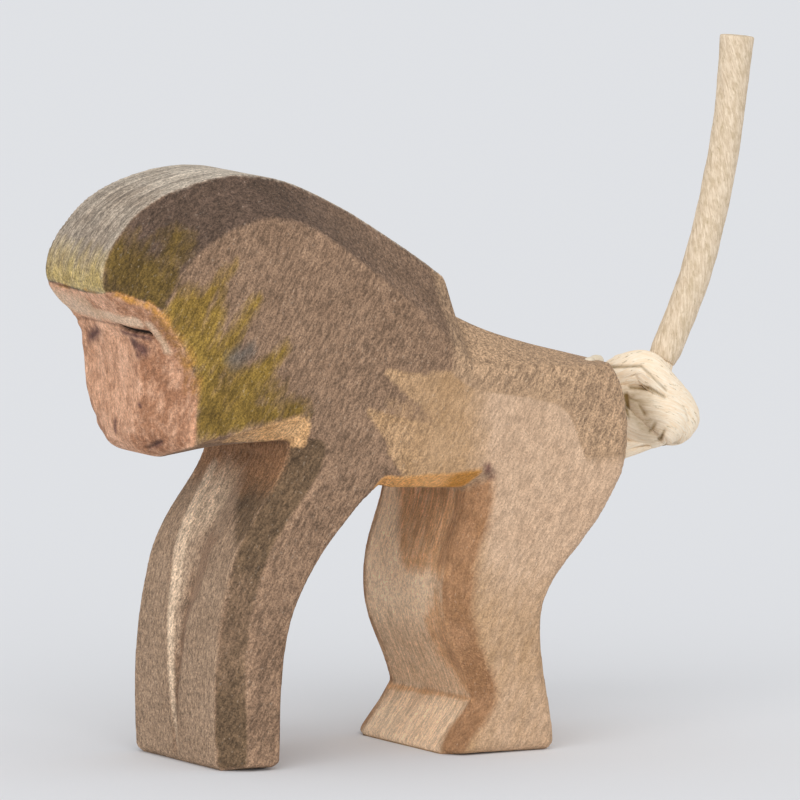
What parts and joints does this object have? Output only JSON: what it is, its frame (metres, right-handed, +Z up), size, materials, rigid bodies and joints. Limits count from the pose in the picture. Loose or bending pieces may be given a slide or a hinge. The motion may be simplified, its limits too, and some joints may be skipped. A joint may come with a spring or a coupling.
{
  "type": "monkey figurine",
  "caption": "Carved, stained wooden monkey on all fours, sawn from a single board with knife-bevelled edges, with a springy knotted cord tail glued into its rump",
  "frame": {"origin": "on the floor, under the middle of the wooden body", "axes": "+X from the face to the rump, +Y through the board's thickness, +Z up"},
  "size_m": [0.0916, 0.0254, 0.0828],
  "materials": {
    "stained_wood": "matte brushed stain",
    "natural_cord": "raw plant fibre",
    "dried_glue": "satin"
  },
  "bodies": {
    "body": {"wooden_body": "stained_wood", "glue_bond": "dried_glue", "tail_root": "natural_cord", "tail_knot": "natural_cord"},
    "tail": {"tail_cord": "natural_cord"}
  },
  "joints": [
    {"name": "tail_bend", "type": "hinge", "parent": "body", "child": "tail", "pos_m": [0.0452, 0, 0.0443], "axis": [0, 1, 0], "range_deg": [-25, 30], "stiffness_Nm_per_rad": 0.005}
  ]
}
